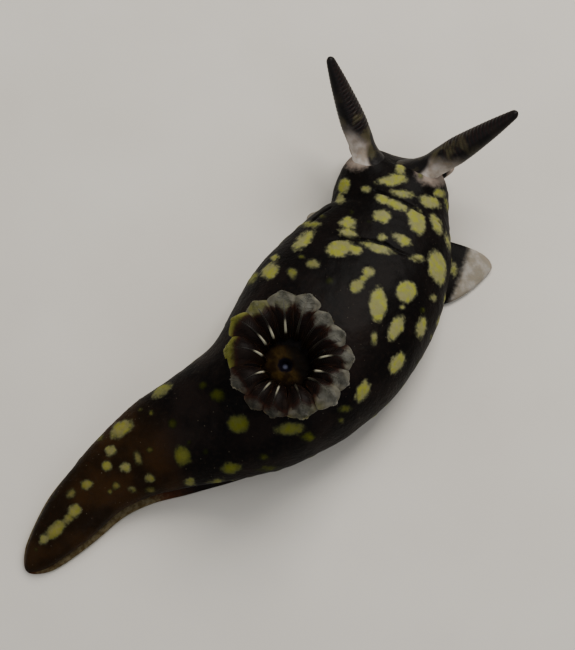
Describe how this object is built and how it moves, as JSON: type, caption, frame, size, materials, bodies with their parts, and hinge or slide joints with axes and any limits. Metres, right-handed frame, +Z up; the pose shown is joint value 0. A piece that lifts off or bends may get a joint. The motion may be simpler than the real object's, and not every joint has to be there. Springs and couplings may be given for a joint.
{
  "type": "gymnodoris nudibranch",
  "caption": "Still life-size sea slug crawling on its foot, with lamellate rhinophores, a ring of gill plumes on its back and a tapering tail.",
  "frame": {"origin": "centre of the bounding box, on the floor under the sole of the foot", "axes": "-Y towards the head, +Y towards the tail, +Z up, +X to the animal's left"},
  "size_m": [0.0096, 0.0236, 0.0054],
  "materials": {
    "black_skin": "wet velvety black skin with cream-yellow spots",
    "brown_skin": "wet brown-black skin with dull yellow spots",
    "foot_margin": "thin translucent grey-brown flesh",
    "rhinophore_flesh": "black lamellate club on a pale translucent stalk",
    "gill_flesh": "black gill leaflets on pale ribs, with a translucent grey rim"
  },
  "bodies": {
    "root": {"head": "black_skin", "neck": "black_skin", "trunk_front": "black_skin", "trunk_gill": "black_skin", "trunk_rear": "black_skin", "tail_base": "brown_skin", "tail_middle": "brown_skin", "tail_tip": "brown_skin", "rhinophore_left": "rhinophore_flesh", "rhinophore_right": "rhinophore_flesh", "oral_tentacle_left": "black_skin", "oral_tentacle_right": "black_skin", "foot_corner_left": "foot_margin", "foot_corner_right": "foot_margin", "gill_crown": "gill_flesh", "anal_papilla": "brown_skin"}
  },
  "joints": []
}
